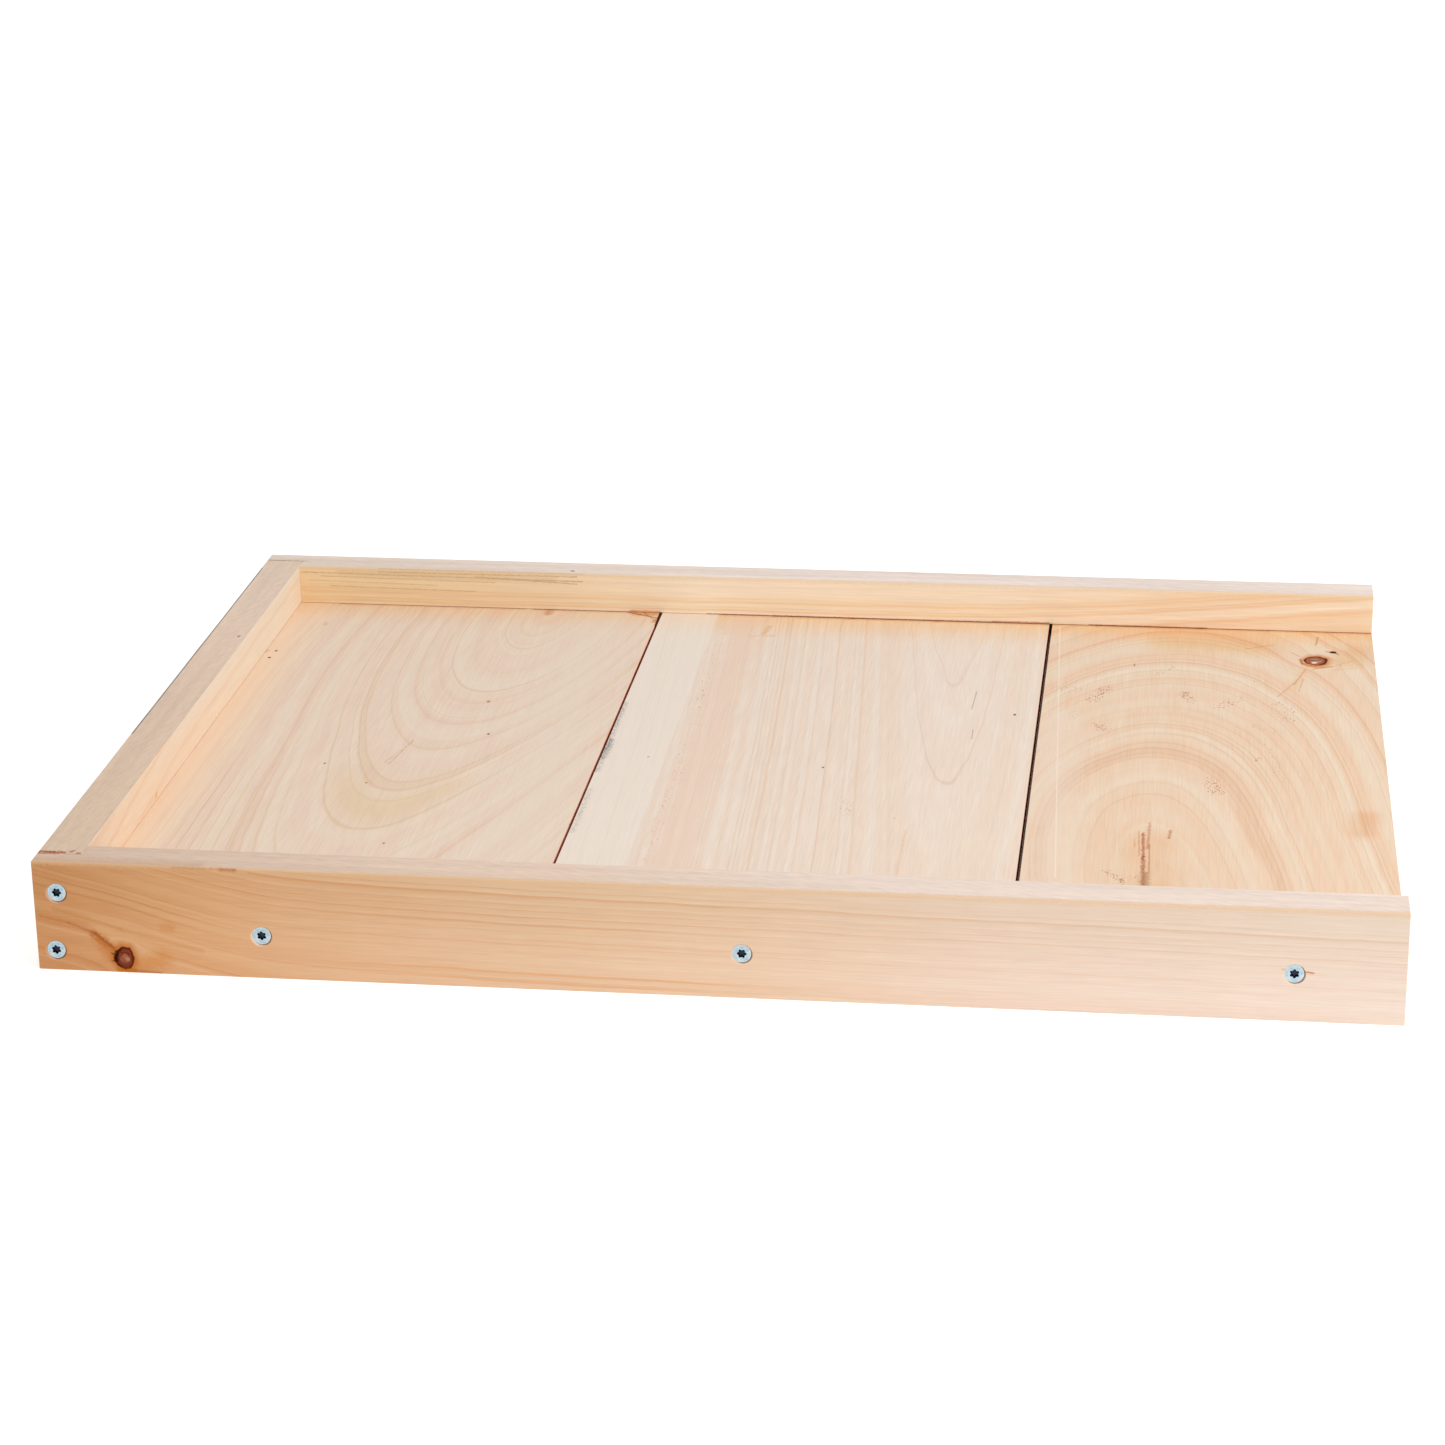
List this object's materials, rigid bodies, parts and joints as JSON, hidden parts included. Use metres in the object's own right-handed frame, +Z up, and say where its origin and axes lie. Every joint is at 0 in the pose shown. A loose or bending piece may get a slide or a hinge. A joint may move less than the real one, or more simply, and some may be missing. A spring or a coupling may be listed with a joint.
{
  "type": "solid bottom board",
  "caption": "Wooden hive floor tray: grooved side and rear rails around a tongued board floor, open at the front as an entrance, held by countersunk screws.",
  "frame": {"origin": "under the middle of the board, at the level of the rails' undersides", "axes": "+X out of the open entrance end, +Y to the left side rail, +Z up with the deep side of the floor on top"},
  "size_m": [0.5588, 0.4128, 0.0482],
  "materials": {
    "side_rail_pine": "planed bare softwood with fine growth lines and a knot",
    "rear_rail_pine": "planed bare softwood, greyer on its top edge",
    "floor_pine": "planed bare softwood with arched flat-sawn figure",
    "zinc_screw": "bright blue-white zinc plating"
  },
  "bodies": {
    "root": {"side_rail_left": "side_rail_pine", "side_rail_right": "side_rail_pine", "rear_rail": "rear_rail_pine", "floor_board_rear": "floor_pine", "floor_board_middle": "floor_pine", "floor_board_front": "floor_pine", "screw_left_corner_upper": "zinc_screw", "screw_left_corner_lower": "zinc_screw", "screw_left_floor_rear": "zinc_screw", "screw_left_floor_middle": "zinc_screw", "screw_left_floor_front": "zinc_screw", "screw_right_corner_upper": "zinc_screw", "screw_right_corner_lower": "zinc_screw", "screw_right_floor_rear": "zinc_screw", "screw_right_floor_middle": "zinc_screw", "screw_right_floor_front": "zinc_screw"}
  },
  "joints": []
}
